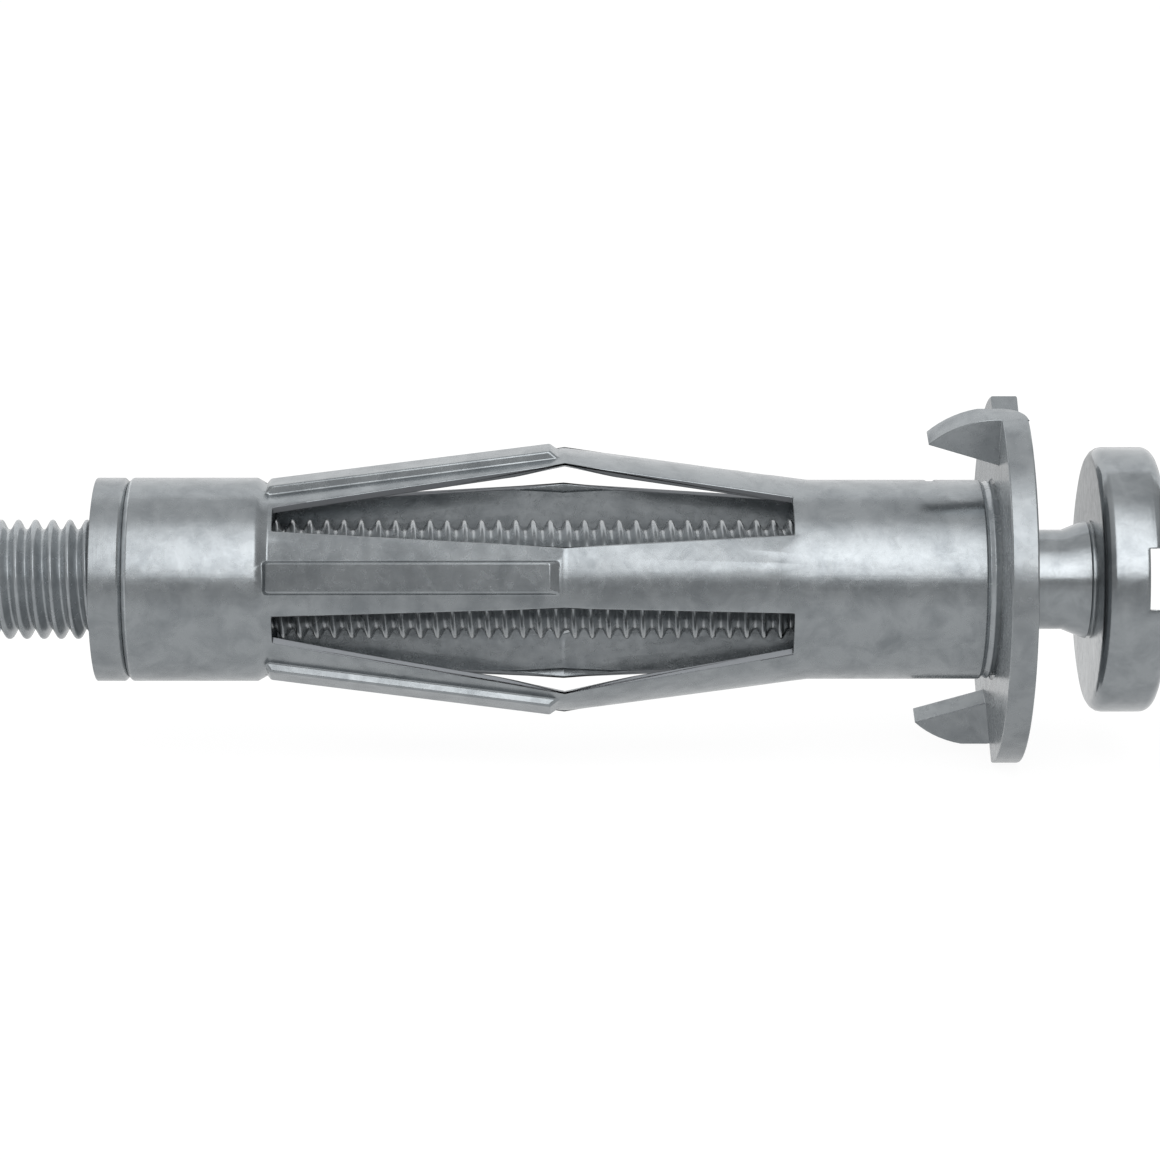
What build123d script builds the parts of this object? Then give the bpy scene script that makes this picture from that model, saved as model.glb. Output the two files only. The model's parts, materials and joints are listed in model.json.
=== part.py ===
"""A steel hollow wall anchor: a slotted sleeve whose five legs fold behind the board.

The screw's axis is the X axis. X is 0 at the rear face of the clawed flange, which lies on the
wall. The screw head is on the +X side and the sleeve reaches into the wall towards -X.
Angles turn about the X axis, from -Y towards +Z. Every length is in millimetres.
"""
from build123d import *
import os
from math import cos, hypot, pi, radians, sin, sqrt

# Sleeve: one rolled sheet, from the wall face towards the rear
SHEET = 0.4                 # thickness of the sheet
TUBE_R = 5.81               # outside radius of the plain front tube
TUBE_LENGTH = 10.75         # wall face to the start of the legs' rise
LEG_COUNT = 5
LEG_ANGLE = 12.6            # degrees, middle of the first leg
FRONT_RUN = 14.15           # length of a leg's front half along the axis
REAR_RUN = 17.05            # length of a leg's rear half along the axis
LEG_RISE = 1.89             # how far the legs stand out of the front tube at their bend
LEG_REAR_R = 5.48           # outside radius at the legs' rear end
BEND_ROUND = 1.0            # inner radius of the sheet at the legs' bend
CRIMP_RUN = 0.8             # slope that closes the collar behind the nut
COLLAR_R = 5.93             # outside radius of the rear collar
COLLAR_LENGTH = 7.49        # crimp to the sleeve's rear edge
EDGE_DEPTH = 0.25           # depth of the slope at the collar's rear edge
EDGE_RUN = 0.24             # length of the slope at the collar's rear edge

# Slots between the legs, cut square to each leg
SLOT_FRONT_SETBACK = 1.05   # slots start this far behind the front tube
SLOT_REAR_SETBACK = 0.25    # slots end this far before the crimp
LEG_FRONT_WIDTH = 4.5
LEG_WAIST_WIDTH = 3.46      # at the bend
LEG_REAR_WIDTH = 4.9
LEG_END_SHIFT = 0.24        # how far both ends of a leg lie round the sleeve from its waist
BEVEL_ANGLE = 60.0          # degrees, from the leg's middle radius to the bevel inside each edge
BEVEL_SLOPE = 0.24          # how steeply the bevel deepens towards the bend
BEVEL_LEAVES = 0.05         # sheet that the bevel leaves at the bend

# Stiffening rib pressed outwards along the rear half of each leg
RIB_HEIGHT = 0.42
RIB_TOP_WIDTH = 1.72
RIB_FOOT_WIDTH = 1.9
RIB_FRONT_SETBACK = 0.85    # bend to the front edge of the rib's flat top
RIB_FRONT_RUN = 0.55        # length of the slope at its front end
RIB_REAR_RUN = 0.3          # length of the slope at its rear end
RIB_CORNER_ROUND = 0.2      # rounding of the rib's corners, seen from outside
RIB_ROUND = 0.15            # rounding of the rib's outer edges

# Neck that holds the flange: a bead behind it and a flare in front of it
NECK_R = 5.25
NECK_FIT = 0.02             # gap between the neck and the flange's hole
BEAD_SEAT_R = 5.6
BEAD_R = 5.8
BEAD_X = 0.34               # wall face to the bead's top
BEAD_RUN = 0.26             # length of each of the bead's slopes
SHOULDER_RUN = 0.18         # slope from the bead's groove up to the tube
FLARE = 0.6                 # depth and width of the flared front end

# Seam of the rolled sheet, with a small cross slot near the neck
SEAM_GAP = 0.1
SEAM_LEG = 1                # the seam follows this leg, counted from 0
CROSS_SLOT_X = 3.62         # wall face to the middle of the cross slot
CROSS_SLOT_WIDTH = 0.48
CROSS_SLOT_ARC = 30.0       # degrees round the tube
CROSS_SLOT_ANGLE = 107.0    # degrees, middle of the cross slot

# Flange: a thick stamped ring with two claws bent out of its rim
FLANGE_R = 10.7
FLANGE_THICKNESS = 1.53
FLANGE_EDGE = 0.06          # small bevel on both rim edges
RECESS_DEPTH = 0.12         # shallow recess that the neck's bead sits in
RECESS_GAP = 0.06           # round the bead
CLAW_COUNT = 2
CLAW_ANGLE = 70.0           # degrees, bend line of the first claw
CLAW_INNER_R = 7.68         # inner end of the bend line
CLAW_LENGTH = 4.12
CLAW_TIP_R = 9.05
CLAW_BULGE = 0.5            # how far the claw's outer edge bows out from a straight line
CLAW_NOTCH_ANGLE = 32.2     # degrees from the bend line to the notch's rim corner

# Threaded nut that is crimped in the rear collar
NUT_FIT = 0.02              # gap between nut and collar
NUT_FLANGE_THICKNESS = 1.87
NUT_FRONT_GAP = 0.15        # nut's front face to the crimp
NUT_CHAMFER = 0.3
RUNNING_FIT = 0.06          # gap round the screw's crests in the nut

# Screw: slotted cheese head, plain shank and rolled thread
SCREW_LENGTH = 65.0         # under the head
CREST_R = 3.49              # outside radius of the thread
SHANK_R = 2.9
PLAIN_LENGTH = 9.87         # under the head to the thread's start
HEAD_GAP = 4.1              # flange front to the head's underside
HEAD_R = 7.72
HEAD_HEIGHT = 3.65
HEAD_ROUND = 0.76           # rounding of the head's front edge
HEAD_REAR_ROUND = 0.75      # rounding of the head's rear edge
NECK_CONE_R = 3.46          # large end of the cone under the head
NECK_CONE_LENGTH = 1.38
UNDERCUT_LENGTH = 0.17      # groove between the cone and the head
UNDERCUT_DEPTH = 0.14
RELIEF_DEPTH = 0.08         # slope in the head's underside, from the undercut to its flat
RELIEF_GAP = 0.06           # the flat starts this far outside the cone
DRIVE_WIDTH = 3.5           # straight slot across the head
DRIVE_DEPTH = 1.1
DRIVE_ANGLE = 12.0          # degrees, the slot's direction
TIP_CHAMFER = 0.6

# Places along the axis and sizes that follow from the ones above
LEG_FRONT_X = -TUBE_LENGTH
BEND_X = LEG_FRONT_X - FRONT_RUN
LEG_REAR_X = BEND_X - REAR_RUN
COLLAR_FRONT_X = LEG_REAR_X - CRIMP_RUN
SLEEVE_REAR_X = COLLAR_FRONT_X - COLLAR_LENGTH
BEND_R = TUBE_R + LEG_RISE
REAR_SLOPE = (BEND_R - LEG_REAR_R) / REAR_RUN
SLOT_FRONT_X = LEG_FRONT_X - SLOT_FRONT_SETBACK
SLOT_REAR_X = LEG_REAR_X + SLOT_REAR_SETBACK
HEAD_X = FLANGE_THICKNESS + HEAD_GAP
BEYOND = FLANGE_R + LEG_RISE + HEAD_R   # further out than any surface of the part


def along_x(points):
    """Solid of revolution about the X axis from (x, radius) points."""
    outline = Polyline(*[(x, 0, -r) for x, r in points], close=True)
    return revolve(make_face(outline), Axis.X, 360)


def turned(shape, angle):
    """Turn a shape that points along +Z to the given angle about the X axis."""
    return Rot(X=90 - angle) * shape


def prism(points, half_width, plane=Plane.XZ):
    """Outline of (x, radius) points made as thick as the given half width to each side."""
    with BuildPart() as block:
        with BuildSketch(plane):
            with BuildLine():
                Polyline(*points, close=True)
            make_face()
        extrude(amount=half_width, both=True)
    return block.part


def sleeve_shell():
    """The whole sleeve before its slots: outside from the flare to the rear edge, inside back."""
    groove_x = -BEAD_X - BEAD_RUN
    shoulder_x = groove_x - SHOULDER_RUN
    outside = [
        (FLANGE_THICKNESS, NECK_R + FLARE),
        (FLANGE_THICKNESS - FLARE, NECK_R),
        (RECESS_DEPTH, NECK_R),
        (RECESS_DEPTH, BEAD_SEAT_R),
        (-BEAD_X + BEAD_RUN, BEAD_SEAT_R),
        (-BEAD_X, BEAD_R),
        (groove_x, BEAD_SEAT_R),
        (shoulder_x, TUBE_R),
        (LEG_FRONT_X, TUBE_R),
        (BEND_X, BEND_R),
        (LEG_REAR_X, LEG_REAR_R),
        (COLLAR_FRONT_X, COLLAR_R),
        (SLEEVE_REAR_X + EDGE_RUN, COLLAR_R),
        (SLEEVE_REAR_X, COLLAR_R - EDGE_DEPTH),
    ]
    flare_wall = SHEET * sqrt(2)
    inside = [
        (SLEEVE_REAR_X, COLLAR_R - SHEET),
        (COLLAR_FRONT_X, COLLAR_R - SHEET),
        (LEG_REAR_X, LEG_REAR_R - SHEET),
        (BEND_X, BEND_R - SHEET),
        (LEG_FRONT_X, TUBE_R - SHEET),
        (shoulder_x - SHEET, TUBE_R - SHEET),
        (groove_x - SHEET, min(BEAD_SEAT_R, TUBE_R) - SHEET),
        (0, NECK_R - SHEET),
        (FLANGE_THICKNESS - FLARE + flare_wall - SHEET, NECK_R - SHEET),
        (FLANGE_THICKNESS, NECK_R + FLARE - flare_wall),
    ]
    shell = along_x(outside + inside)
    for size, reach in ((BEND_ROUND + SHEET, BEND_R), (BEND_ROUND, BEND_R - SHEET)):
        bend = shell.edges().filter_by(
            lambda edge: hypot(edge.center().X - BEND_X, edge.length / (2 * pi) - reach) < SHEET / 4
        )
        shell = fillet(bend, size)
    return shell


def leg_plan():
    """One leg seen from outside, as a prism that reaches from the axis outwards."""
    sides = [
        (SLOT_FRONT_X, LEG_FRONT_WIDTH, LEG_END_SHIFT),
        (BEND_X, LEG_WAIST_WIDTH, 0),
        (SLOT_REAR_X, LEG_REAR_WIDTH, LEG_END_SHIFT),
    ]
    upper = [(x, shift + width / 2) for x, width, shift in sides]
    lower = [(x, shift - width / 2) for x, width, shift in reversed(sides)]
    return extrude(make_face(Polyline(*upper, *lower, close=True)), BEYOND, dir=(0, 0, 1))


def edge_bevels():
    """Two wedges that thin a leg's edges from inside towards its bend."""
    half_waist = LEG_WAIST_WIDTH / 2
    corner_z = sqrt(BEND_R ** 2 - half_waist ** 2) - BEVEL_LEAVES
    lean = radians(BEVEL_ANGLE)
    bevel = Plane(
        origin=(BEND_X, half_waist, corner_z),
        x_dir=(1, 0, 0),
        z_dir=(0, -sin(lean), -cos(lean)),
    )
    reach = REAR_RUN / 2
    outline = [(0, 0), (reach, -BEVEL_SLOPE * reach), (-reach, -BEVEL_SLOPE * reach)]
    wedge = prism(outline, half_waist, bevel)
    return wedge, mirror(wedge, Plane.XZ)


def rib_block():
    """A flat-topped bar along a leg's rear half, deeper than the sheet that it stands on."""
    top_front = BEND_X - RIB_FRONT_SETBACK
    top_rear = LEG_REAR_X

    def top_r(x):
        return BEND_R + REAR_SLOPE * (x - BEND_X) + RIB_HEIGHT

    root = 2 * SHEET
    side = [
        (top_front, top_r(top_front)),
        (top_rear, top_r(top_rear)),
        (top_rear - RIB_REAR_RUN, top_r(top_rear) - RIB_HEIGHT),
        (top_rear - RIB_REAR_RUN, top_r(top_rear) - RIB_HEIGHT - root),
        (top_front + RIB_FRONT_RUN, top_r(top_front) - RIB_HEIGHT - root),
        (top_front + RIB_FRONT_RUN, top_r(top_front) - RIB_HEIGHT),
    ]
    slant = (RIB_FOOT_WIDTH - RIB_TOP_WIDTH) / 2
    half_top = RIB_TOP_WIDTH / 2
    middle_x = (top_front + top_rear) / 2
    deep = root + RIB_HEIGHT
    section = [
        (-half_top, 0),
        (half_top, 0),
        (half_top + slant, -RIB_HEIGHT),
        (half_top + slant, -deep),
        (-half_top - slant, -deep),
        (-half_top - slant, -RIB_HEIGHT),
    ]
    across = Plane(
        origin=(middle_x, 0, top_r(middle_x)),
        x_dir=(0, 1, 0),
        z_dir=(1, 0, REAR_SLOPE),
    )
    return prism(side, RIB_FOOT_WIDTH) & prism(section, REAR_RUN, across)


def top_face(bar):
    """The flat outer face of a bar that points along +Z."""
    return bar.faces().filter_by(lambda face: face.normal_at().Z > 0.9).sort_by(SortBy.AREA)[-1]


def rib():
    """One rib along +Z with rounded corners and outer edges, rooted in the middle of the sheet."""
    bar = rib_block()
    corners = top_face(bar).vertices()
    rim = top_face(bar).edges()
    bar = fillet(
        bar.edges().filter_by(
            lambda edge: edge not in rim and any(end in corners for end in edge.vertices())
        ),
        RIB_CORNER_ROUND,
    )
    rim = top_face(bar).edges()
    bar = fillet(bar.edges().filter_by(lambda edge: edge in rim), RIB_ROUND)
    return bar - along_x([
        (LEG_FRONT_X, 0),
        (LEG_FRONT_X, TUBE_R - SHEET / 2),
        (BEND_X, BEND_R - SHEET / 2),
        (LEG_REAR_X, LEG_REAR_R - SHEET / 2),
        (COLLAR_FRONT_X, COLLAR_R - SHEET / 2),
        (COLLAR_FRONT_X, 0),
    ])


def seam():
    """The closed gap of the rolled sheet, in the middle of a slot, with its cross slot."""
    angle = LEG_ANGLE + (SEAM_LEG + 0.5) * 360 / LEG_COUNT
    length = 2 * (FLANGE_THICKNESS - SLEEVE_REAR_X)
    gap = turned(Pos(0, 0, BEYOND / 2) * Box(length, SEAM_GAP, BEYOND), angle)
    half = CROSS_SLOT_ARC / 2
    wedge = [(0, 0)]
    for side in (-half, half):
        wedge.append((2 * TUBE_R * sin(radians(side)), 2 * TUBE_R * cos(radians(side))))
    across = Plane(origin=(-CROSS_SLOT_X, 0, 0), x_dir=(0, 1, 0), z_dir=(1, 0, 0))
    return gap, turned(prism(wedge, CROSS_SLOT_WIDTH / 2, across), CROSS_SLOT_ANGLE)


def sleeve():
    """Rolled sleeve: tube, five bent legs with ribs, crimp and collar."""
    shell = sleeve_shell()
    leg = shell & leg_plan()
    for wedge in edge_bevels():
        leg -= wedge
    leg += rib()
    body = split(shell, Plane(origin=(SLOT_FRONT_X, 0, 0), z_dir=(1, 0, 0)), Keep.TOP)
    body += split(shell, Plane(origin=(SLOT_REAR_X, 0, 0), z_dir=(1, 0, 0)), Keep.BOTTOM)
    for number in range(LEG_COUNT):
        body += turned(leg, LEG_ANGLE + number * 360 / LEG_COUNT)
    for cut in seam():
        body -= cut
    return body


def claw():
    """One claw along +Z, with its rounded bend, standing on the flange's rear face."""
    mid_x = -CLAW_LENGTH / 2
    mid_r = (FLANGE_R + CLAW_TIP_R) / 2 + CLAW_BULGE
    with BuildPart() as flap:
        with BuildSketch(Plane.XZ):
            with BuildLine():
                Polyline((0, FLANGE_R), (0, CLAW_INNER_R), (-CLAW_LENGTH, CLAW_TIP_R))
                ThreePointArc((-CLAW_LENGTH, CLAW_TIP_R), (mid_x, mid_r), (0, FLANGE_R))
            make_face()
        extrude(amount=-FLANGE_THICKNESS)
    height = FLANGE_R - CLAW_INNER_R
    bend = Pos(0, 0, CLAW_INNER_R + height / 2) * Cylinder(FLANGE_THICKNESS, height)
    quarter = Pos(FLANGE_THICKNESS / 2, FLANGE_THICKNESS / 2, CLAW_INNER_R + height / 2)
    bend &= quarter * Box(FLANGE_THICKNESS, FLANGE_THICKNESS, height)
    rim = Rot(Y=90) * Cylinder(FLANGE_R, 4 * CLAW_LENGTH)
    return (flap.part + bend) & rim


def clawed_flange():
    """Stamped ring, countersunk for the sleeve's flare, with its claws bent out of the rim."""
    hole_r = NECK_R + NECK_FIT
    recess_r = BEAD_R + RECESS_GAP
    ring = along_x([
        (RECESS_DEPTH, hole_r),
        (RECESS_DEPTH, recess_r),
        (0, recess_r),
        (0, FLANGE_R - FLANGE_EDGE),
        (FLANGE_EDGE, FLANGE_R),
        (FLANGE_THICKNESS - FLANGE_EDGE, FLANGE_R),
        (FLANGE_THICKNESS, FLANGE_R - FLANGE_EDGE),
        (FLANGE_THICKNESS, NECK_R + FLARE),
        (FLANGE_THICKNESS - FLARE + NECK_FIT, hole_r),
    ])
    corner_y = FLANGE_R * sin(radians(CLAW_NOTCH_ANGLE))
    corner_z = FLANGE_R * cos(radians(CLAW_NOTCH_ANGLE))
    notch_outline = [
        (0, CLAW_INNER_R),
        (FLANGE_THICKNESS, CLAW_INNER_R),
        (corner_y, corner_z),
        (2 * corner_y, 2 * corner_z),
        (0, BEYOND),
    ]
    across = Plane(origin=(FLANGE_THICKNESS / 2, 0, 0), x_dir=(0, 1, 0), z_dir=(1, 0, 0))
    notch = prism(notch_outline, FLANGE_THICKNESS, across)
    flap = claw()
    for number in range(CLAW_COUNT):
        angle = CLAW_ANGLE + number * 360 / CLAW_COUNT
        ring -= turned(notch, angle)
        ring += turned(flap, angle)
    return ring


def threaded_nut():
    """Nut that is held in the collar, with a flange behind the sleeve's rear edge."""
    bore_r = CREST_R + RUNNING_FIT
    body_r = COLLAR_R - SHEET - NUT_FIT
    front_x = COLLAR_FRONT_X - NUT_FRONT_GAP
    rear_x = SLEEVE_REAR_X - NUT_FLANGE_THICKNESS
    return along_x([
        (front_x, bore_r),
        (front_x, body_r - NUT_CHAMFER),
        (front_x - NUT_CHAMFER, body_r),
        (SLEEVE_REAR_X, body_r),
        (SLEEVE_REAR_X, COLLAR_R - EDGE_DEPTH),
        (SLEEVE_REAR_X - EDGE_RUN, COLLAR_R),
        (rear_x, COLLAR_R),
        (rear_x, bore_r + NUT_CHAMFER),
        (rear_x + NUT_CHAMFER, bore_r),
    ])


def screw():
    """Slotted screw with its thread as a plain cylinder at the crests."""
    cone_x = HEAD_X - UNDERCUT_LENGTH
    root_r = NECK_CONE_R - UNDERCUT_DEPTH
    tip_x = HEAD_X - SCREW_LENGTH
    thread_x = HEAD_X - PLAIN_LENGTH
    shaft = along_x([
        (tip_x, 0),
        (tip_x, CREST_R - TIP_CHAMFER),
        (tip_x + TIP_CHAMFER, CREST_R),
        (thread_x, CREST_R),
        (thread_x + CREST_R - SHANK_R, SHANK_R),
        (cone_x - NECK_CONE_LENGTH, SHANK_R),
        (cone_x, NECK_CONE_R),
        (cone_x, root_r),
        (HEAD_X, root_r),
        (HEAD_X, 0),
    ])
    head = Pos(HEAD_X + HEAD_HEIGHT / 2, 0, 0) * Rot(Y=90) * Cylinder(HEAD_R, HEAD_HEIGHT)
    rims = head.edges().filter_by(GeomType.CIRCLE).sort_by(Axis.X)
    head = fillet(rims[0], HEAD_REAR_ROUND)
    rims = head.edges().filter_by(GeomType.CIRCLE).sort_by(Axis.X)
    head = fillet(rims[-1], HEAD_ROUND)
    head -= along_x([
        (HEAD_X, root_r),
        (HEAD_X + RELIEF_DEPTH, root_r),
        (HEAD_X, NECK_CONE_R + RELIEF_GAP),
    ])
    front_x = HEAD_X + HEAD_HEIGHT
    drive = Pos(front_x, 0, 0) * Box(2 * DRIVE_DEPTH, DRIVE_WIDTH, 2 * BEYOND)
    return shaft + head - turned(drive, DRIVE_ANGLE)


PIECES = {
    "sleeve": sleeve,
    "clawed_flange": clawed_flange,
    "threaded_nut": threaded_nut,
    "screw": screw,
}


def main():
    os.makedirs("parts", exist_ok=True)
    for name, make in PIECES.items():
        export_step(make(), f"parts/{name}.step")


main()
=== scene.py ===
"""Looks of a steel hollow wall anchor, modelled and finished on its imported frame.

Lengths are in metres. The screw's axis is the X axis: X is 0 at the wall face of the clawed
flange, the head is on the +X side and the slotted sleeve reaches towards -X. Z is up.
"""
import json
import math

import bpy
from bpy.props import FloatProperty, FloatVectorProperty, IntProperty, PointerProperty
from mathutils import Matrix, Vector

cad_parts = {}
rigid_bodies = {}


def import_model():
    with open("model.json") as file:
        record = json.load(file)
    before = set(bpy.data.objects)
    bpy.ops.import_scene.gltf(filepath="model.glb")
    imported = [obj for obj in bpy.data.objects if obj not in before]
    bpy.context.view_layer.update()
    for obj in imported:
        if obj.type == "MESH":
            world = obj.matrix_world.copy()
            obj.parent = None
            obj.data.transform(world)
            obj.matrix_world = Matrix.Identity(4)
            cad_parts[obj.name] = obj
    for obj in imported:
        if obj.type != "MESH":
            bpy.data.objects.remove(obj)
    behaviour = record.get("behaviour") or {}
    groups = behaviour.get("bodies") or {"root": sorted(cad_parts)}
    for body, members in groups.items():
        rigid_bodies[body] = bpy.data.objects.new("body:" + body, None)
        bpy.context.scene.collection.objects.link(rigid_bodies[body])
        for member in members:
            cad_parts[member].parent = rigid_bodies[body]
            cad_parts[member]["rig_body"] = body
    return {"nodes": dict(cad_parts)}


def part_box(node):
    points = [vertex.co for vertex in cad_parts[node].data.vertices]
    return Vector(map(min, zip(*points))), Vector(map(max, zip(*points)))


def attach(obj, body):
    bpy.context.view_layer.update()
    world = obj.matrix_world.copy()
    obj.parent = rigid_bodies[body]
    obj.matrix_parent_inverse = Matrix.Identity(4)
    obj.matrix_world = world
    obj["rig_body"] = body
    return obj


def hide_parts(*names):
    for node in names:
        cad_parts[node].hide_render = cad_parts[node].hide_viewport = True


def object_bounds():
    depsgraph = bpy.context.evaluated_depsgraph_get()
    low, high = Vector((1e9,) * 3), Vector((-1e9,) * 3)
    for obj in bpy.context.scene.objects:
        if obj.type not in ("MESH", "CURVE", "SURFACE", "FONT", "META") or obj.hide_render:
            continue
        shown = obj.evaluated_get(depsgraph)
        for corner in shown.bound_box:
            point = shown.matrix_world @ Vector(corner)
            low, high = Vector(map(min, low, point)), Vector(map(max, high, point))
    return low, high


bl_info = {
    "name": "Hollow Wall Anchor",
    "version": (1, 0, 0),
    "blender": (4, 5, 0),
    "location": "View3D > Sidebar > Wall Anchor",
    "description": "Models a wall anchor's screw and gives all its pieces a zinc finish",
    "category": "Object",
}

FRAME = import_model()
CAD_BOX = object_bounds()
MM = 0.001
SCREW_LOW, SCREW_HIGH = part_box("screw")
FULL_TURN = 2 * math.pi
WELD = 0.0005 * MM          # vertices nearer than this are one
FLAT = math.radians(0.5)    # faces that meet at less than this are one
SCREW_SHARPEST = 35         # degrees between faces of the screw, past which an edge is sharp
FACING = 0.7                # a normal's share along a direction, past which it faces that way
LEANING = 0.3               # the same, for a face that only leans that way
END_ON = 0.99               # the same, for a face square to that direction
PICTURE_WIDTH = 1160        # in pixels


# Sizes and colours that can be changed

class ScrewSizes(bpy.types.PropertyGroup):
    """The screw's head, driver slot, shank and thread"""
    pitch: FloatProperty(
        name="Pitch", description="Length of one turn of the thread",
        default=1.0 * MM, min=0.3 * MM, max=3 * MM, subtype="DISTANCE", precision=5)
    crest_r: FloatProperty(
        name="Crest Radius", description="Outside radius of the thread",
        default=3.49 * MM, min=1 * MM, max=10 * MM, subtype="DISTANCE", precision=5)
    root_r: FloatProperty(
        name="Root Radius", description="Radius at the bottom of the thread",
        default=2.92 * MM, min=1 * MM, max=10 * MM, subtype="DISTANCE", precision=5)
    shank_r: FloatProperty(
        name="Shank Radius", description="Radius of the plain shank",
        default=2.9 * MM, min=1 * MM, max=10 * MM, subtype="DISTANCE", precision=5)
    plain_length: FloatProperty(
        name="Plain Length", description="Length under the head that has no thread",
        default=9.87 * MM, min=1 * MM, max=50 * MM, subtype="DISTANCE", precision=5)
    head_r: FloatProperty(
        name="Head Radius", description="Radius of the slotted head",
        default=7.72 * MM, min=2 * MM, max=20 * MM, subtype="DISTANCE", precision=5)
    head_height: FloatProperty(
        name="Head Height", description="Height of the slotted head",
        default=3.65 * MM, min=1 * MM, max=10 * MM, subtype="DISTANCE", precision=5)
    head_round: FloatProperty(
        name="Front Rounding", description="Rounding of the head's front edge",
        default=0.76 * MM, min=0.05 * MM, max=2 * MM, subtype="DISTANCE", precision=5)
    head_rear_round: FloatProperty(
        name="Rear Rounding", description="Rounding of the head's rear edge",
        default=0.75 * MM, min=0.02 * MM, max=2 * MM, subtype="DISTANCE", precision=5)
    cone_r: FloatProperty(
        name="Cone Radius", description="Large end of the cone under the head",
        default=3.46 * MM, min=1 * MM, max=10 * MM, subtype="DISTANCE", precision=5)
    cone_length: FloatProperty(
        name="Cone Length", description="Length of the cone under the head",
        default=1.38 * MM, min=0.2 * MM, max=5 * MM, subtype="DISTANCE", precision=5)
    slot_width: FloatProperty(
        name="Slot Width", description="Width of the slot across the head",
        default=3.5 * MM, min=0.5 * MM, max=5 * MM, subtype="DISTANCE", precision=5)
    slot_depth: FloatProperty(
        name="Slot Depth", description="Depth of the slot across the head",
        default=1.1 * MM, min=0.2 * MM, max=3 * MM, subtype="DISTANCE", precision=5)
    slot_angle: FloatProperty(
        name="Slot Angle", description="Direction of the slot, from the front side upwards",
        default=math.radians(12), min=-3.2, max=3.2, subtype="ANGLE")
    tip_chamfer: FloatProperty(
        name="Tip Chamfer", description="Bevel at the screw's tip",
        default=0.6 * MM, min=0.1 * MM, max=2 * MM, subtype="DISTANCE", precision=5)
    thread_turn: FloatProperty(
        name="Thread Turn", description="How far the thread is turned about the axis at the tip",
        default=math.radians(124), min=0, max=FULL_TURN, subtype="ANGLE")
    steps: IntProperty(
        name="Steps", description="Faces round one turn of the thread",
        default=64, min=16, max=128)


class SlotSizes(bpy.types.PropertyGroup):
    """Where the sleeve's cut edges, neck and collar lie"""
    legs: IntProperty(
        name="Legs", description="Number of legs between the slots", default=5, min=2, max=12)
    leg_angle: FloatProperty(
        name="Leg Angle", description="Direction of the first leg, from the front side upwards",
        default=math.radians(12.6), min=-3.2, max=3.2, subtype="ANGLE")
    rear_x: FloatProperty(
        name="Rear End", description="Where the slots end at the collar",
        default=-42.0 * MM, min=-100 * MM, max=0, subtype="DISTANCE", precision=5)
    front_x: FloatProperty(
        name="Front End", description="Where the slots end at the tube",
        default=-11.6 * MM, min=-100 * MM, max=0, subtype="DISTANCE", precision=5)
    # From the neck forwards the plating is painted lighter, which lifts the shade of the neck's
    # recess; behind the collar's end it takes the same lighter plating
    neck_x: FloatProperty(
        name="Neck", description="Where the duller neck in the flange begins",
        default=-0.95 * MM, min=-100 * MM, max=0, subtype="DISTANCE", precision=5)
    collar_end_x: FloatProperty(
        name="Collar's End", description="Where the slope at the collar's rear edge begins",
        default=-49.95 * MM, min=-100 * MM, max=0, subtype="DISTANCE", precision=5)
    half_rib: FloatProperty(
        name="Half Rib", description="Half the width that the rib takes of a leg",
        default=1.3 * MM, min=0.2 * MM, max=5 * MM, subtype="DISTANCE", precision=5)


class ZincColors(bpy.types.PropertyGroup):
    """Colours of the metal"""
    plating: FloatVectorProperty(
        name="Plating", description="Colour of the zinc plating",
        default=(0.292, 0.312, 0.325), size=3, subtype="COLOR", min=0, max=1)
    stain: FloatVectorProperty(
        name="Stain", description="Colour of the duller patches of the plating",
        default=(0.185, 0.202, 0.215), size=3, subtype="COLOR", min=0, max=1)
    # The cut edges' colour is partly the thinly plated punched steel and partly painted shade
    # that darkens the legs' cut faces
    cut: FloatVectorProperty(
        name="Cut Edges", description="Colour of the thinly plated cut edges",
        default=(0.15, 0.158, 0.168), size=3, subtype="COLOR", min=0, max=1)


class StageSettings(bpy.types.PropertyGroup):
    """The camera's place and lens"""
    lens: FloatProperty(
        name="Lens", description="Focal length of the camera",
        default=125.9, min=20, max=400, subtype="DISTANCE_CAMERA")
    distance: FloatProperty(
        name="Distance", description="Camera to the screw's axis",
        default=236.8 * MM, min=0.05, max=2, subtype="DISTANCE")
    height: FloatProperty(
        name="Height", description="Angle of the camera above the horizon",
        default=math.radians(12), min=-1.5, max=1.5, subtype="ANGLE")
    aim_x: FloatProperty(
        name="Aim", description="Where the camera's axis meets the screw's axis",
        default=-26.9 * MM, min=-100 * MM, max=100 * MM, subtype="DISTANCE", precision=5)
    shift: FloatVectorProperty(
        name="Shift", description="Shift of the picture, as shares of its width", size=2,
        default=(50 / PICTURE_WIDTH, -0.7 / PICTURE_WIDTH), min=-1, max=1, precision=5)


# Modelling by hand

def put_down():
    """Leave edit mode and deselect everything."""
    if bpy.context.mode != "OBJECT":
        bpy.ops.object.mode_set(mode="OBJECT")
    bpy.ops.object.select_all(action="DESELECT")


def take_up(*objects):
    """Select these objects alone, the last one active."""
    put_down()
    for ob in objects:
        ob.select_set(True)
    bpy.context.view_layer.objects.active = objects[-1]


def open_mesh(ob):
    """Open one object in edit mode."""
    take_up(ob)
    bpy.ops.object.mode_set(mode="EDIT")


def close_mesh():
    """Go back from edit mode to object mode."""
    bpy.ops.object.mode_set(mode="OBJECT")


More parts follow.
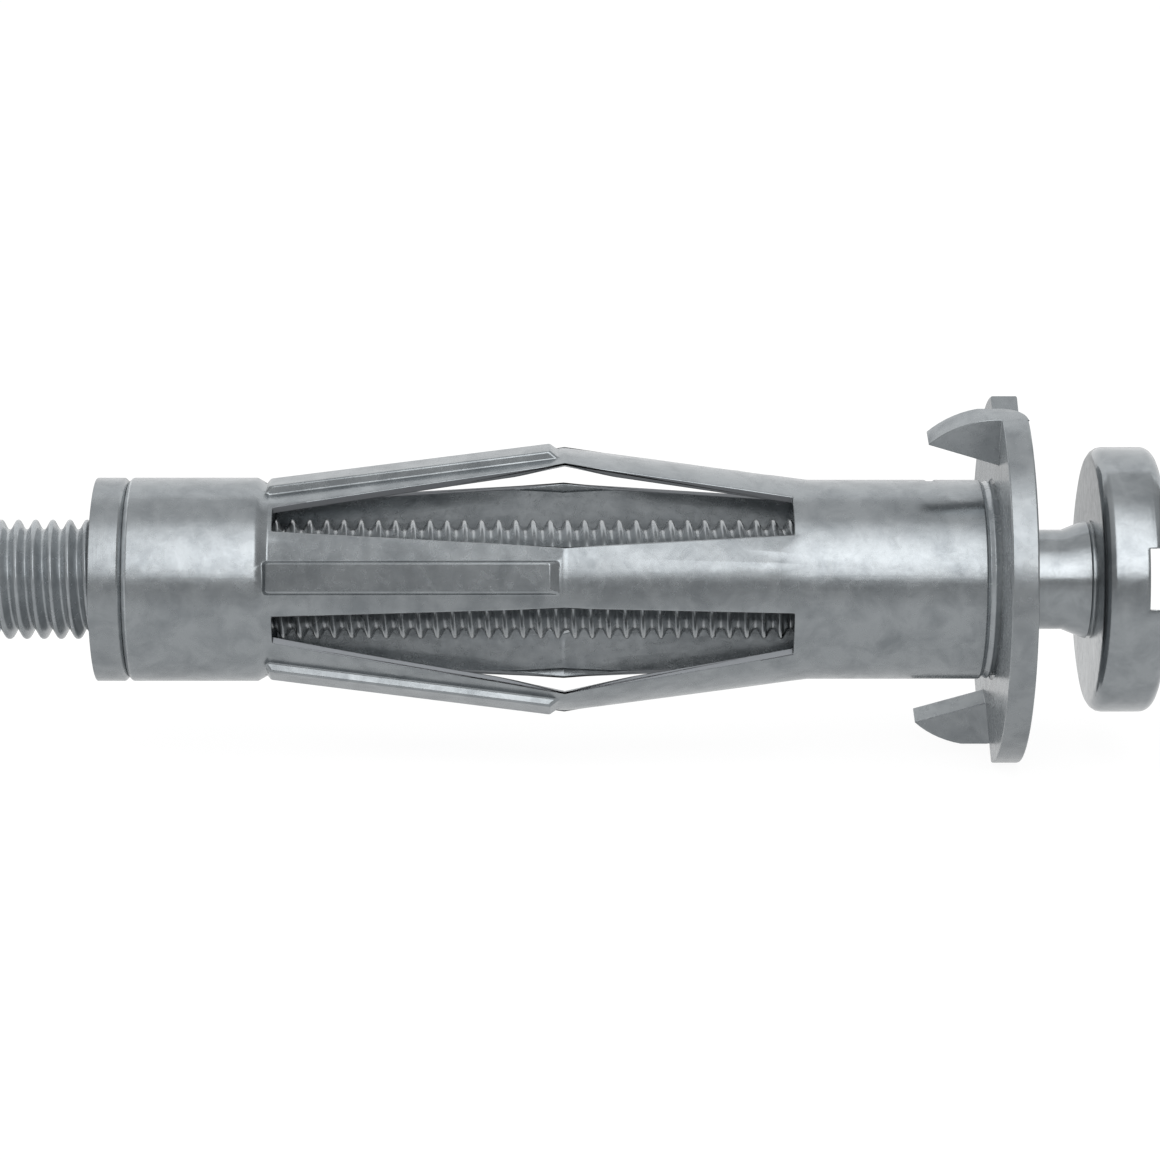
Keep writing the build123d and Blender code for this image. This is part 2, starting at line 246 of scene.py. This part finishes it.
def select_edges(ob, chosen):
    """In edit mode, select the edges whose two ends the test accepts."""
    bpy.ops.mesh.select_mode(type="EDGE")
    bpy.ops.mesh.select_all(action="DESELECT")
    bpy.ops.object.mode_set(mode="OBJECT")
    vertices = ob.data.vertices
    for edge in ob.data.edges:
        edge.select = all(chosen(vertices[end].co) for end in edge.vertices)
    bpy.ops.object.mode_set(mode="EDIT")


def select_open_edges(ob, chosen):
    """In edit mode, select the edges with one face alone whose two ends the test accepts."""
    select_edges(ob, chosen)
    bpy.ops.mesh.hide(unselected=True)
    bpy.ops.mesh.select_all(action="DESELECT")
    bpy.ops.mesh.select_non_manifold(use_wire=False, use_multi_face=False, use_verts=False,
                                     use_non_contiguous=False)
    bpy.ops.mesh.reveal(select=False)


def from_axis(place):
    """How far a place lies from the X axis."""
    return math.hypot(place.y, place.z)


def weld_all(nearer=WELD):
    """In edit mode, select the whole mesh and merge the vertices nearer than this."""
    bpy.ops.mesh.select_all(action="SELECT")
    bpy.ops.mesh.remove_doubles(threshold=nearer)


def cut_across(x, **cleared):
    """In edit mode, cut the selection square to the X axis, clearing the side that is named."""
    bpy.ops.mesh.bisect(plane_co=(x, 0, 0), plane_no=(1, 0, 0), threshold=WELD / 10, **cleared)


def draw_outline(name, points):
    """A chain of edges through (x, radius) points above the axis, extruded from one vertex."""
    put_down()
    bpy.ops.mesh.primitive_plane_add(size=MM)
    ob = bpy.context.object
    ob.name = ob.data.name = name
    bpy.ops.object.mode_set(mode="EDIT")
    bpy.ops.mesh.select_mode(type="VERT")
    bpy.ops.mesh.merge(type="CENTER")
    pen = Vector((0, 0, 0))
    for number, (x, r) in enumerate(points):
        step = Vector((x, 0, r)) - pen
        if number:
            bpy.ops.mesh.extrude_region_move(TRANSFORM_OT_translate={"value": step})
        else:
            bpy.ops.transform.translate(value=step)
        pen = Vector((x, 0, r))
    return ob


def turn_on_lathe(ob, steps):
    """Spin the drawn outline round the axis into one skin."""
    bpy.ops.mesh.select_all(action="SELECT")
    bpy.ops.mesh.spin(steps=steps, angle=FULL_TURN, center=(0, 0, 0), axis=(1, 0, 0))
    weld_all()
    bpy.ops.mesh.normals_make_consistent(inside=False)
    close_mesh()


def round_rim(ob, x, r, size, segments):
    """Round the circular edge at this place along the axis and this radius."""
    open_mesh(ob)
    select_edges(ob, lambda at: abs(at.x - x) < WELD and abs(from_axis(at) - r) < 4 * WELD)
    bpy.ops.mesh.bevel(offset=size, segments=segments, profile=0.5, clamp_overlap=False)
    close_mesh()


def apply_modifier(ob, kind, **settings):
    """Add a modifier with these settings and apply it."""
    take_up(ob)
    modifier = ob.modifiers.new(kind.title(), kind)
    for name, value in settings.items():
        setattr(modifier, name, value)
    bpy.ops.object.modifier_apply(modifier=modifier.name)


def round_edges(ob, width, segments, sharpest):
    """Round every edge where faces meet at more than this angle in degrees."""
    apply_modifier(ob, "BEVEL", width=width, segments=segments, limit_method="ANGLE",
                   angle_limit=math.radians(sharpest), use_clamp_overlap=False)


def smooth(ob, sharpest):
    """Shade the object smooth, apart from edges sharper than this angle in degrees.

    The large faces set the shading, so that narrow roundings don't streak them.
    """
    take_up(ob)
    bpy.ops.object.shade_smooth_by_angle(angle=math.radians(sharpest))
    apply_modifier(ob, "WEIGHTED_NORMAL", keep_sharp=True, weight=50)


def plate(ob, *finishes):
    """Give the piece these materials alone, its faces keeping their places among them."""
    places = [face.material_index for face in ob.data.polygons]
    ob.data.materials.clear()
    for finish in finishes:
        ob.data.materials.append(finish)
    ob.data.polygons.foreach_set("material_index", places)


def mark_faces(ob, *tests):
    """Give the faces that a test accepts the material at that test's place after the first."""
    plate(ob, *[None] * (1 + len(tests)))
    for face in ob.data.polygons:
        accepted = [test(face.center, face.normal) for test in tests]
        face.material_index = 1 + accepted.index(True) if any(accepted) else 0


def fit_piece(ob, node, *finishes):
    """Give the finished piece its materials and put it in the CAD node's place."""
    body = FRAME["nodes"][node]["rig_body"]
    plate(ob, *finishes)
    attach(ob, body)
    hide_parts(node)


def refined_copy(node, *tests, edge_round, sharpest):
    """A merged copy of a CAD node with flat faces whole and its sharp edges slightly rounded.

    The faces that a test accepts take the material at that test's place after the first.
    """
    ob = bpy.data.objects.new(node + "_finished", FRAME["nodes"][node].data.copy())
    bpy.context.scene.collection.objects.link(ob)
    take_up(ob)
    bpy.ops.mesh.customdata_custom_splitnormals_clear()
    open_mesh(ob)
    weld_all()
    bpy.ops.mesh.mark_sharp(clear=True)
    bpy.ops.mesh.dissolve_limited(angle_limit=FLAT)
    close_mesh()
    mark_faces(ob, *tests)
    round_edges(ob, edge_round, segments=3, sharpest=sharpest)
    smooth(ob, sharpest)
    return ob


# Screw

# Half a turn's outline from the crest's middle to the root's middle, as shares of the pitch and
# of the thread's depth
HALF_TURN = ((0, 1), (0.06, 0.98), (0.12, 0.9), (0.17, 0.77), (0.28, 0.42), (0.36, 0.16),
             (0.43, 0.03), (0.5, 0))
SPARE_TURNS = 3             # turns of the thread that the cuts at its two ends take away
NECK_LENGTH = 0.17 * MM     # of the groove between the head and its cone
NECK_DEPTH = 0.14 * MM      # of the same groove under the cone's large end
RECESS_WIDTH = 0.06 * MM    # how far the recess in the head's rear reaches past the cone
RECESS_DEPTH = 0.08 * MM    # of the same recess
BRIDGE_LENGTH = 0.3 * MM    # between the turned shank and the thread's skin, bridged at the end
RING_GAP = 0.2 * MM         # from the driver slot's floor back to the ring that is cut behind it
SLOT_WELD = 0.06 * MM       # vertices of the slotted head that are nearer than this are one
HEAD_EDGE_ROUND = 0.04 * MM


def turn_blank(sizes, head_x, thread_x):
    """The head, cone and shank as one skin that is open where the thread begins."""
    cone_x = head_x - NECK_LENGTH
    neck_r = sizes.cone_r - NECK_DEPTH
    blank = draw_outline("screw_finished", [
        (SCREW_HIGH.x, 0),
        (SCREW_HIGH.x, sizes.head_r),
        (head_x, sizes.head_r),
        (head_x, sizes.cone_r + RECESS_WIDTH),
        (head_x + RECESS_DEPTH, neck_r),
        (cone_x, neck_r),
        (cone_x, sizes.cone_r),
        (cone_x - sizes.cone_length, sizes.shank_r),
        (thread_x + BRIDGE_LENGTH, sizes.shank_r),
    ])
    turn_on_lathe(blank, 2 * sizes.steps)
    round_rim(blank, SCREW_HIGH.x, sizes.head_r, sizes.head_round, segments=10)
    round_rim(blank, head_x, sizes.head_r, sizes.head_rear_round, segments=4)
    return blank


def cut_driver_slot(screw, sizes):
    """Cut the slot across the head, and a ring behind it that keeps its shading off the side."""
    put_down()
    bpy.ops.mesh.primitive_cube_add(
        size=1, location=(SCREW_HIGH.x, 0, 0),
        rotation=(math.radians(90) - sizes.slot_angle, 0, 0),
        scale=(2 * sizes.slot_depth, sizes.slot_width, 3 * sizes.head_r))
    cutter = bpy.context.object
    apply_modifier(screw, "BOOLEAN", object=cutter, operation="DIFFERENCE", solver="EXACT")
    bpy.data.objects.remove(cutter)
    open_mesh(screw)
    bpy.ops.mesh.select_all(action="SELECT")
    cut_across(SCREW_HIGH.x - sizes.slot_depth - RING_GAP)
    weld_all(SLOT_WELD)
    close_mesh()
    round_edges(screw, HEAD_EDGE_ROUND, segments=2, sharpest=SCREW_SHARPEST)


def cut_thread(sizes, front_x, rear_x, front_limit, rear_limit):
    """Helical skin between two places along the axis, held under a radius limit at each end."""
    depth = sizes.crest_r - sizes.root_r
    half = [(along * sizes.pitch, sizes.root_r + up * depth) for along, up in HALF_TURN]
    turns = math.ceil((front_x - rear_x) / sizes.pitch) + SPARE_TURNS
    start = rear_x - (1 + sizes.thread_turn / FULL_TURN) * sizes.pitch
    outline = [(start - x, r) for x, r in reversed(half[1:])] + [(start + x, r) for x, r in half]
    ob = draw_outline("thread", outline)
    close_mesh()
    apply_modifier(ob, "SCREW", axis="X", angle=FULL_TURN, screw_offset=sizes.pitch,
                   iterations=turns, steps=sizes.steps, render_steps=sizes.steps,
                   use_merge_vertices=False)
    open_mesh(ob)
    weld_all()
    cut_across(rear_x, clear_inner=True)
    weld_all()
    cut_across(front_x, clear_outer=True)
    close_mesh()
    for vertex in ob.data.vertices:
        at = vertex.co
        limit = min(front_limit + front_x - at.x, rear_limit + at.x - rear_x)
        if from_axis(at) > limit:
            share = limit / from_axis(at)
            vertex.co = (at.x, at.y * share, at.z * share)
    return ob


def close_skin(screw):
    """Bridge the thread's front end to the shank and cap its rear end, the screw's tip."""
    open_mesh(screw)
    select_open_edges(screw, lambda at: at.x > SCREW_LOW.x + WELD)
    bpy.ops.mesh.bridge_edge_loops()
    select_open_edges(screw, lambda at: True)
    bpy.ops.mesh.edge_face_add()
    bpy.ops.mesh.select_all(action="SELECT")
    bpy.ops.mesh.normals_make_consistent(inside=False)
    close_mesh()


class OBJECT_OT_anchor_screw(bpy.types.Operator):
    """Turn the slotted head and shank, and cut the thread"""
    bl_idname = "object.anchor_screw"
    bl_label = "Screw"
    bl_options = {"REGISTER", "UNDO"}

    def execute(self, context):
        sizes = context.scene.anchor_screw
        colors = context.scene.anchor_colors
        head_x = SCREW_HIGH.x - sizes.head_height
        thread_x = head_x - sizes.plain_length + sizes.crest_r - sizes.shank_r

        def on_thread(place, normal):
            """Whether this is the thread, and not the flat end of the tip."""
            return place.x < thread_x and abs(normal.x) < END_ON

        screw = turn_blank(sizes, head_x, thread_x)
        cut_driver_slot(screw, sizes)
        thread = cut_thread(sizes, thread_x, SCREW_LOW.x,
                            sizes.shank_r, sizes.crest_r - sizes.tip_chamfer)
        take_up(thread, screw)
        bpy.ops.object.join()
        close_skin(screw)
        smooth(screw, SCREW_SHARPEST)
        mark_faces(screw, on_thread)
        fit_piece(screw, "screw",
                  zinc("screw_zinc", colors, TURNED, roughness=0.14),
                  zinc("thread_zinc", colors, THREADED, dull=0.5, lighter=1.3))
        return {"FINISHED"}


# Sleeve, flange and nut

class OBJECT_OT_anchor_sleeve(bpy.types.Operator):
    """Round the edges of the slotted sleeve and plate it"""
    bl_idname = "object.anchor_sleeve"
    bl_label = "Sleeve"
    bl_options = {"REGISTER", "UNDO"}

    def execute(self, context):
        sizes = context.scene.anchor_slots
        colors = context.scene.anchor_colors
        spacing = FULL_TURN / sizes.legs

        def was_cut(place, normal):
            """Whether this is the cut side of a leg, and not of its rib."""
            turn = math.atan2(place.z, -place.y)
            from_leg = (turn - sizes.leg_angle + spacing / 2) % spacing - spacing / 2
            across = Vector((0, place.z, -place.y)).normalized()
            return (sizes.rear_x < place.x < sizes.front_x and abs(normal.dot(across)) > FACING
                    and abs(from_leg) * from_axis(place) > sizes.half_rib)

        def at_an_end(place, normal):
            """Whether this lies in the neck, or on the slope at the collar's rear edge."""
            return not sizes.collar_end_x < place.x < sizes.neck_x

        sleeve = refined_copy("sleeve", was_cut, at_an_end, edge_round=0.08 * MM, sharpest=30)
        fit_piece(sleeve, "sleeve",
                  zinc("sleeve_zinc", colors, ROLLED),
                  # The legs' cut faces are rougher punched steel, painted darker as painted
                  # shade
                  cut_steel_and_painted_shade("sleeve_cut_edges_painted_shade", colors),
                  # The neck and the collar's end slope get a duller plating painted lighter:
                  # painted light that lifts the neck's recess out of its shade
                  zinc("neck_zinc_painted_light", colors, EVEN, dull=0.6, lighter=1.5))
        return {"FINISHED"}


class OBJECT_OT_anchor_flange(bpy.types.Operator):
    """Round the edges of the clawed flange and plate it"""
    bl_idname = "object.anchor_flange"
    bl_label = "Clawed Flange"
    bl_options = {"REGISTER", "UNDO"}

    def execute(self, context):
        colors = context.scene.anchor_colors

        def faces_the_tube(place, normal):
            """Whether this is the ring's rear face or the inner side of a claw."""
            outward = Vector((0, place.y, place.z)).normalized()
            on_claw = place.x < -0.1 * MM
            return normal.x < -FACING or (on_claw and normal.dot(outward) < -LEANING)

        flange = refined_copy("clawed_flange", faces_the_tube, edge_round=0.05 * MM, sharpest=25)
        fit_piece(flange, "clawed_flange",
                  zinc("flange_zinc", colors, EVEN, dull=0.3),
                  # The faces turned to the tube lie in shade, and their duller plating is
                  # painted lighter: painted light
                  zinc("flange_rear_zinc_painted_light", colors, EVEN, dull=0.7, lighter=1.4))
        return {"FINISHED"}


class OBJECT_OT_anchor_nut(bpy.types.Operator):
    """Round the edges of the crimped nut and plate it"""
    bl_idname = "object.anchor_nut"
    bl_label = "Nut"
    bl_options = {"REGISTER", "UNDO"}

    def execute(self, context):
        colors = context.scene.anchor_colors
        nut = refined_copy("threaded_nut", edge_round=0.05 * MM, sharpest=25)
        fit_piece(nut, "threaded_nut", zinc("nut_zinc", colors, TURNED, dull=0.2))
        return {"FINISHED"}


# Materials

# How often the fine lines of a finish change in 1 mm along X, Y and Z
TURNED = (6, 0.3, 0.3)
THREADED = (3, 0.5, 0.5)
ROLLED = (0.12, 4, 4)
EVEN = (1, 1, 1)
RELIEF = 0.02 * MM          # height of a finish's waves
LINE_HEIGHT = 0.12          # of the fine lines, as a share of the waves'
ROUGHER = 0.1               # what the roughest blotches add to a finish's roughness


def set_inputs(tree, node, inputs):
    """Link each of a node's inputs to a socket, or set it to a value."""
    for name, value in inputs.items():
        if isinstance(value, bpy.types.NodeSocket):
            tree.links.new(value, node.inputs[name])
        else:
            node.inputs[name].default_value = value


def add_node(tree, kind, inputs, **settings):
    """Add a shader node with these settings and inputs, and return its outputs."""
    node = tree.nodes.new("ShaderNode" + kind)
    for name, value in settings.items():
        setattr(node, name, value)
    set_inputs(tree, node, inputs)
    return node.outputs


def new_material(name):
    """A material with an empty node tree, and that tree."""
    material = bpy.data.materials.new(name)
    material.use_nodes = True
    material.node_tree.nodes.clear()
    return material, material.node_tree


def noise(tree, place, scale, detail, rough, distortion=0.0):
    """A noise texture at these coordinates, from 0 to 1."""
    return add_node(tree, "TexNoise", {
        "Vector": place, "Scale": scale, "Detail": detail, "Roughness": rough,
        "Distortion": distortion})["Fac"]


def stretched(tree, place, scale):
    """The coordinates scaled by axis."""
    return add_node(tree, "Mapping", {"Vector": place, "Scale": scale})["Vector"]


def ranged(tree, value, ends, new_ends):
    """The value mapped from one range to another, held at its ends."""
    return add_node(tree, "MapRange", {
        "Value": value, "From Min": ends[0], "From Max": ends[1],
        "To Min": new_ends[0], "To Max": new_ends[1]})["Result"]


def calculated(tree, operation, *values):
    """The result of a math node."""
    return add_node(tree, "Math", dict(enumerate(values)), operation=operation)[0]


def mixed(tree, share, first, second, kind="FLOAT"):
    """The first value where the share is 0, the second where it is 1."""
    inputs = {"Factor": share, "A": first, "B": second}
    return add_node(tree, "Mix", inputs, data_type=kind)["Result"]


def zinc(name, colors, grain, dull=0.1, lighter=1.0, roughness=0.2):
    """Satin zinc plating, slightly wavy, with mottled patches and fine lines along the grain.

    Dull is the share of it that scatters light instead of mirroring it, lighter multiplies its
    colours, and roughness is that of its smoothest patches.
    """
    material, tree = new_material(name)
    place = add_node(tree, "TexCoord", {})["Object"]
    in_mm = stretched(tree, place, (1 / MM, 1 / MM, 1 / MM))

    patches = noise(tree, in_mm, scale=0.55, detail=5, rough=0.62, distortion=0.4)
    stain, plating = [(*(lighter * part for part in color), 1)
                      for color in (colors.stain, colors.plating)]
    tint = mixed(tree, ranged(tree, patches, (0.3, 0.6), (0.2, 1.0)), stain, plating, "RGBA")

    blotches = noise(tree, in_mm, scale=1.6, detail=5, rough=0.6, distortion=0.8)
    blotches = ranged(tree, blotches, (0.3, 0.7), (0, 1))
    mottled = calculated(tree, "MULTIPLY_ADD", blotches, ROUGHER, roughness)

    along = stretched(tree, in_mm, (0.5, 1, 1))
    waves = noise(tree, along, scale=0.7, detail=3, rough=0.4, distortion=0.3)
    lines = noise(tree, stretched(tree, in_mm, grain), scale=1.0, detail=3, rough=0.5)
    height = calculated(tree, "MULTIPLY_ADD", lines, LINE_HEIGHT, waves)
    bump = add_node(tree, "Bump", {"Height": height, "Strength": 1.0, "Distance": RELIEF})

    shader = add_node(tree, "BsdfPrincipled", {
        "Base Color": tint, "Metallic": 1.0 - dull, "Roughness": mottled,
        "Normal": bump["Normal"]})
    add_node(tree, "OutputMaterial", {"Surface": shader[0]})
    return material


def cut_steel_and_painted_shade(name, colors):
    """The dull, rough metal of edges that were punched, made darker still by painted shade."""
    material, tree = new_material(name)
    shader = add_node(tree, "BsdfPrincipled", {
        "Base Color": (*colors.cut, 1), "Metallic": 1.0, "Roughness": 0.4})
    add_node(tree, "OutputMaterial", {"Surface": shader[0]})
    return material


def seen_white(name, pale, shown, mirrored, pool_rim_mirrored=None):
    """A pale stage material that camera, mirror and glass rays see as plain light.

    With the last argument, what metal mirrors of it falls to that value away from the X axis, a
    painted pool of light round the anchor.
    """
    material, tree = new_material(name)
    if pool_rim_mirrored is not None:
        place = add_node(tree, "TexCoord", {})["Object"]
        apart = calculated(tree, "ABSOLUTE", add_node(tree, "SeparateXYZ", {0: place})["Y"])
        # Painted pool of light: what metal mirrors of the floor falls off from the X axis
        # outwards
        mirrored = ranged(tree, apart, (28 * MM, 68 * MM), (mirrored, pool_rim_mirrored))
    paper = add_node(tree, "BsdfPrincipled", {
        "Base Color": (pale, pale, pale, 1), "Roughness": 0.9, "Specular IOR Level": 0.0})
    light = add_node(tree, "Emission", {"Strength": background_strength(tree, shown, mirrored)})
    both = add_node(tree, "AddShader", {0: paper[0], 1: light[0]})
    add_node(tree, "OutputMaterial", {"Surface": both[0]})
    return material


def background_strength(tree, shown, mirrored, otherwise=0.0):
    """One strength for camera rays, one for mirror and glass rays, and one for all others."""
    path = add_node(tree, "LightPath", {})
    by_metal_or_glass = calculated(tree, "MAXIMUM", path["Is Glossy Ray"],
                                   path["Is Transmission Ray"])
    unseen = mixed(tree, by_metal_or_glass, otherwise, mirrored)
    return mixed(tree, path["Is Camera Ray"], unseen, shown)


# Stage: floor, backdrop, sky, light and camera

STAGE_WIDTH = 4
BACKDROP_PLACE = (0, 1.6, 1)
UPRIGHT = (math.radians(90), 0, 0)


def add_plane(name, location, rotation, material):
    """A wide sheet of the stage."""
    put_down()
    bpy.ops.mesh.primitive_plane_add(size=STAGE_WIDTH, location=location, rotation=rotation)
    plane = bpy.context.object
    plane.name = name
    plane.data.materials.append(material)


def add_sky():
    """A white world that metal mirrors as brighter upwards and darker towards both ends."""
    world = bpy.data.worlds.new("studio")
    world.use_nodes = True
    tree = world.node_tree
    direction = add_node(tree, "TexCoord", {})["Generated"]
    towards = add_node(tree, "SeparateXYZ", {0: direction})
    upwards = ranged(tree, towards["Z"], (0.34, 0.87), (0.55, 0.92))
    endwards = ranged(tree, calculated(tree, "ABSOLUTE", towards["X"]), (0.1, 0.3), (1.0, 0.75))
    mirrored = calculated(tree, "MULTIPLY", upwards, endwards)
    set_inputs(tree, tree.nodes["Background"], {
        "Color": (1, 1, 1, 1),
        "Strength": background_strength(tree, 1.0, mirrored, otherwise=0.9)})
    bpy.context.scene.world = world


def add_softbox(name, azimuth, elevation, distance, below, above, width, spread, radiance):
    """A soft area light whose sheet faces the anchor's middle from one direction.

    The sheet stands square to that direction and reaches from the angle below it to the angle
    above it, seen from the anchor. The radiance is what the anchor sees along that direction.
    """
    middle = (CAD_BOX[0] + CAD_BOX[1]) / 2
    aim = Vector((
        math.sin(azimuth) * math.cos(elevation),
        -math.cos(azimuth) * math.cos(elevation),
        math.sin(elevation),
    ))
    turn = aim.to_track_quat("Z", "Y")
    up = turn @ Vector((0, 1, 0))
    low, high = -distance * math.tan(below), distance * math.tan(above)
    place = middle + aim * distance + up * (low + high) / 2
    bpy.ops.object.light_add(type="AREA", location=place)
    light = bpy.context.object
    light.name = name
    light.rotation_euler = turn.to_euler()
    light.data.shape = "RECTANGLE"
    light.data.size = width
    light.data.size_y = high - low
    light.data.spread = spread
    # A narrower spread brightens a lamp along its axis, and this share takes that back
    focus = 1 - spread / 2 / math.tan(spread / 2)
    light.data.energy = radiance * math.pi * width * (high - low) * focus


def add_camera(settings):
    """A camera in front of the anchor that looks a little down on the screw's axis."""
    back = Vector((0, -math.cos(settings.height), math.sin(settings.height)))
    bpy.ops.object.camera_add(
        location=Vector((settings.aim_x, 0, 0)) + back * settings.distance,
        rotation=(math.radians(90) - settings.height, 0, 0))
    camera = bpy.context.object
    camera.name = "camera"
    camera.data.lens = settings.lens
    camera.data.shift_x, camera.data.shift_y = settings.shift
    camera.data.clip_start = 10 * MM
    bpy.context.scene.camera = camera


class OBJECT_OT_anchor_stage(bpy.types.Operator):
    """Add the pale floor, the backdrop, the sky, the soft light and the camera"""
    bl_idname = "object.anchor_stage"
    bl_label = "Stage"
    bl_options = {"REGISTER", "UNDO"}

    def execute(self, context):
        # The floor that metal mirrors holds a painted pool of light round the anchor, fading
        # farther off
        floor_paper = seen_white("floor_paper", pale=0.12, shown=0.93, mirrored=0.83,
                                 pool_rim_mirrored=0.58)
        add_plane("floor", (0, 0, CAD_BOX[0].z), (0, 0, 0), floor_paper)
        backdrop_paper = seen_white("backdrop_paper", pale=0.8, shown=1.0, mirrored=0.7)
        add_plane("backdrop", BACKDROP_PLACE, UPRIGHT, backdrop_paper)
        add_sky()
        add_softbox("key_softbox", azimuth=math.radians(5.5), elevation=math.radians(32),
                    distance=0.6, below=math.radians(17.2), above=math.radians(50),
                    width=0.32, spread=math.radians(100), radiance=3.0)
        add_camera(context.scene.anchor_stage)
        context.scene.view_settings.view_transform = "Standard"
        return {"FINISHED"}


# Add-on

OPERATORS = (
    OBJECT_OT_anchor_sleeve,
    OBJECT_OT_anchor_flange,
    OBJECT_OT_anchor_nut,
    OBJECT_OT_anchor_screw,
    OBJECT_OT_anchor_stage,
)


class VIEW3D_PT_wall_anchor(bpy.types.Panel):
    """The buttons that make the anchor's pieces and their stage"""
    bl_label = "Wall Anchor"
    bl_idname = "VIEW3D_PT_wall_anchor"
    bl_space_type = "VIEW_3D"
    bl_region_type = "UI"
    bl_category = "Wall Anchor"

    def draw(self, context):
        for operator in OPERATORS:
            self.layout.operator(operator.bl_idname)


CLASSES = (ScrewSizes, SlotSizes, ZincColors, StageSettings, *OPERATORS, VIEW3D_PT_wall_anchor)
SETTINGS = {
    "anchor_screw": ScrewSizes,
    "anchor_slots": SlotSizes,
    "anchor_colors": ZincColors,
    "anchor_stage": StageSettings,
}


def register():
    for cls in CLASSES:
        bpy.utils.register_class(cls)
    for name, group in SETTINGS.items():
        setattr(bpy.types.Scene, name, PointerProperty(type=group))


def unregister():
    for name in SETTINGS:
        delattr(bpy.types.Scene, name)
    for cls in reversed(CLASSES):
        bpy.utils.unregister_class(cls)


def main():
    register()
    bpy.ops.object.anchor_sleeve()
    bpy.ops.object.anchor_flange()
    bpy.ops.object.anchor_nut()
    bpy.ops.object.anchor_screw()
    bpy.ops.object.anchor_stage()


if __name__ == "__main__":
    main()
